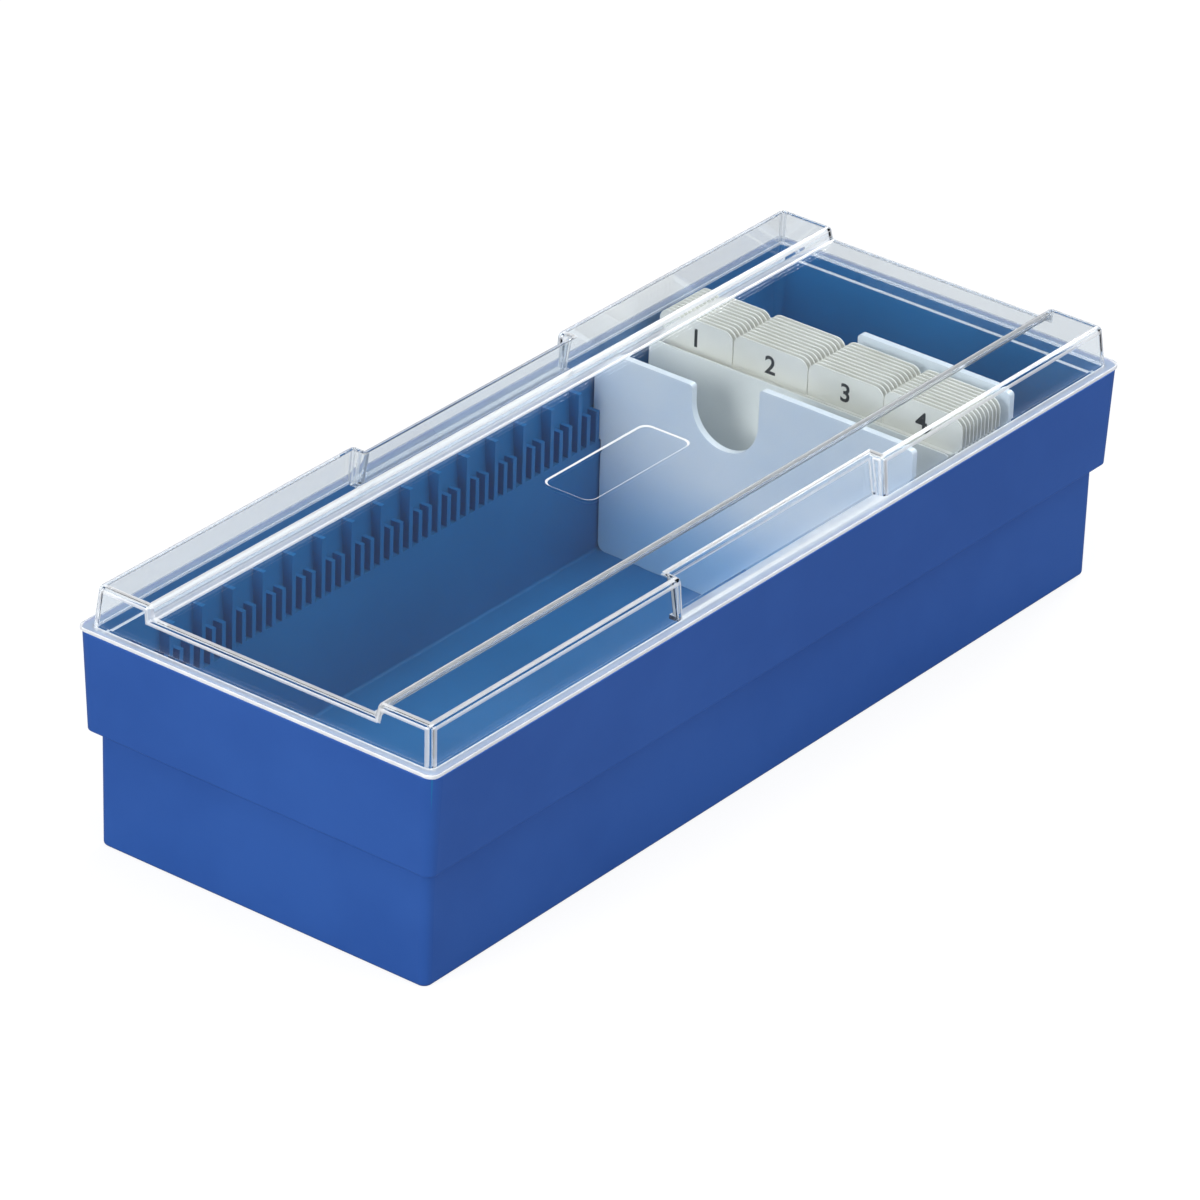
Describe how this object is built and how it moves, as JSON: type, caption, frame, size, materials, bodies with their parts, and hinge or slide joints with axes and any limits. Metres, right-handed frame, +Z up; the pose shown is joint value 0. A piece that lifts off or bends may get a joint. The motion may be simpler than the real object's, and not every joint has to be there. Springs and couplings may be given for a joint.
{
  "type": "business card box",
  "caption": "Long business card box: ribbed opaque tray, clear lift-off lid with finger recesses, slotted dividers and a pack of tabbed index guides.",
  "frame": {"origin": "middle of the base, on the surface that the box stands on", "axes": "+X to the right and +Y towards the rear short end as seen from the front short end, +Z up"},
  "size_m": [0.112, 0.2834, 0.0732],
  "materials": {
    "tray": "satin moulded polystyrene",
    "lid": "clear polished polystyrene",
    "divider": "milky moulded polystyrene",
    "blank_sheet": "fine matte film",
    "index_guide": "fine matte film"
  },
  "bodies": {
    "tray": {"tray": "tray", "front_divider": "divider", "rear_divider": "divider"},
    "lid": {"lid": "lid"},
    "blank_sheet": {"blank_sheet": "blank_sheet"},
    "guide_row_01": {"index_guide_01": "index_guide", "index_guide_02": "index_guide", "index_guide_03": "index_guide", "index_guide_04": "index_guide"},
    "guide_row_02": {"index_guide_05": "index_guide", "index_guide_06": "index_guide", "index_guide_07": "index_guide", "index_guide_08": "index_guide"},
    "guide_row_03": {"index_guide_09": "index_guide", "index_guide_10": "index_guide", "index_guide_11": "index_guide", "index_guide_12": "index_guide"},
    "guide_row_04": {"index_guide_13": "index_guide", "index_guide_14": "index_guide", "index_guide_15": "index_guide", "index_guide_16": "index_guide"},
    "guide_row_05": {"index_guide_17": "index_guide", "index_guide_18": "index_guide", "index_guide_19": "index_guide", "index_guide_20": "index_guide"},
    "guide_row_06": {"index_guide_21": "index_guide", "index_guide_22": "index_guide", "index_guide_23": "index_guide", "index_guide_24": "index_guide"},
    "guide_row_07": {"index_guide_25": "index_guide", "index_guide_26": "index_guide", "index_guide_27": "index_guide", "index_guide_28": "index_guide"},
    "guide_row_08": {"index_guide_29": "index_guide", "index_guide_30": "index_guide", "index_guide_31": "index_guide", "index_guide_32": "index_guide"},
    "guide_row_09": {"index_guide_33": "index_guide", "index_guide_34": "index_guide", "index_guide_35": "index_guide", "index_guide_36": "index_guide"},
    "guide_row_10": {"index_guide_37": "index_guide", "index_guide_38": "index_guide", "index_guide_39": "index_guide", "index_guide_40": "index_guide"},
    "guide_row_11": {"index_guide_41": "index_guide", "index_guide_42": "index_guide", "index_guide_43": "index_guide", "index_guide_44": "index_guide"}
  },
  "joints": [
    {"name": "lid_lift", "type": "slide", "parent": "tray", "child": "lid", "axis": [0, 0, 1], "range_m": [0, 0.08]},
    {"name": "guide_row_01_lean", "type": "hinge", "parent": "tray", "child": "guide_row_01", "pos_m": [0, 0.0795, 0.00205], "axis": [1, 0, 0], "range_deg": [0, 15]},
    {"name": "guide_row_02_lean", "type": "hinge", "parent": "tray", "child": "guide_row_02", "pos_m": [0, 0.08114, 0.00205], "axis": [1, 0, 0], "range_deg": [0, 15]},
    {"name": "guide_row_03_lean", "type": "hinge", "parent": "tray", "child": "guide_row_03", "pos_m": [0, 0.08278, 0.00205], "axis": [1, 0, 0], "range_deg": [0, 15]},
    {"name": "guide_row_04_lean", "type": "hinge", "parent": "tray", "child": "guide_row_04", "pos_m": [0, 0.08442, 0.00205], "axis": [1, 0, 0], "range_deg": [0, 15]},
    {"name": "guide_row_05_lean", "type": "hinge", "parent": "tray", "child": "guide_row_05", "pos_m": [0, 0.08606, 0.00205], "axis": [1, 0, 0], "range_deg": [0, 15]},
    {"name": "guide_row_06_lean", "type": "hinge", "parent": "tray", "child": "guide_row_06", "pos_m": [0, 0.0877, 0.00205], "axis": [1, 0, 0], "range_deg": [0, 15]},
    {"name": "guide_row_07_lean", "type": "hinge", "parent": "tray", "child": "guide_row_07", "pos_m": [0, 0.08934, 0.00205], "axis": [1, 0, 0], "range_deg": [0, 15]},
    {"name": "guide_row_08_lean", "type": "hinge", "parent": "tray", "child": "guide_row_08", "pos_m": [0, 0.09098, 0.00205], "axis": [1, 0, 0], "range_deg": [0, 15]},
    {"name": "guide_row_09_lean", "type": "hinge", "parent": "tray", "child": "guide_row_09", "pos_m": [0, 0.09262, 0.00205], "axis": [1, 0, 0], "range_deg": [0, 15]},
    {"name": "guide_row_10_lean", "type": "hinge", "parent": "tray", "child": "guide_row_10", "pos_m": [0, 0.09426, 0.00205], "axis": [1, 0, 0], "range_deg": [0, 15]},
    {"name": "guide_row_11_lean", "type": "hinge", "parent": "tray", "child": "guide_row_11", "pos_m": [0, 0.0959, 0.00205], "axis": [1, 0, 0], "range_deg": [0, 15]},
    {"name": "blank_sheet_lean", "type": "hinge", "parent": "tray", "child": "blank_sheet", "pos_m": [0, 0.0753, 0.00205], "axis": [1, 0, 0], "range_deg": [0, 15]}
  ],
  "couplings": [
    {"joint": "guide_row_02_lean", "follows": "guide_row_01_lean", "ratio": 1},
    {"joint": "guide_row_03_lean", "follows": "guide_row_01_lean", "ratio": 1},
    {"joint": "guide_row_04_lean", "follows": "guide_row_01_lean", "ratio": 1},
    {"joint": "guide_row_05_lean", "follows": "guide_row_01_lean", "ratio": 1},
    {"joint": "guide_row_06_lean", "follows": "guide_row_01_lean", "ratio": 1},
    {"joint": "guide_row_07_lean", "follows": "guide_row_01_lean", "ratio": 1},
    {"joint": "guide_row_08_lean", "follows": "guide_row_01_lean", "ratio": 1},
    {"joint": "guide_row_09_lean", "follows": "guide_row_01_lean", "ratio": 1},
    {"joint": "guide_row_10_lean", "follows": "guide_row_01_lean", "ratio": 1},
    {"joint": "guide_row_11_lean", "follows": "guide_row_01_lean", "ratio": 1},
    {"joint": "blank_sheet_lean", "follows": "guide_row_01_lean", "ratio": 1}
  ]
}
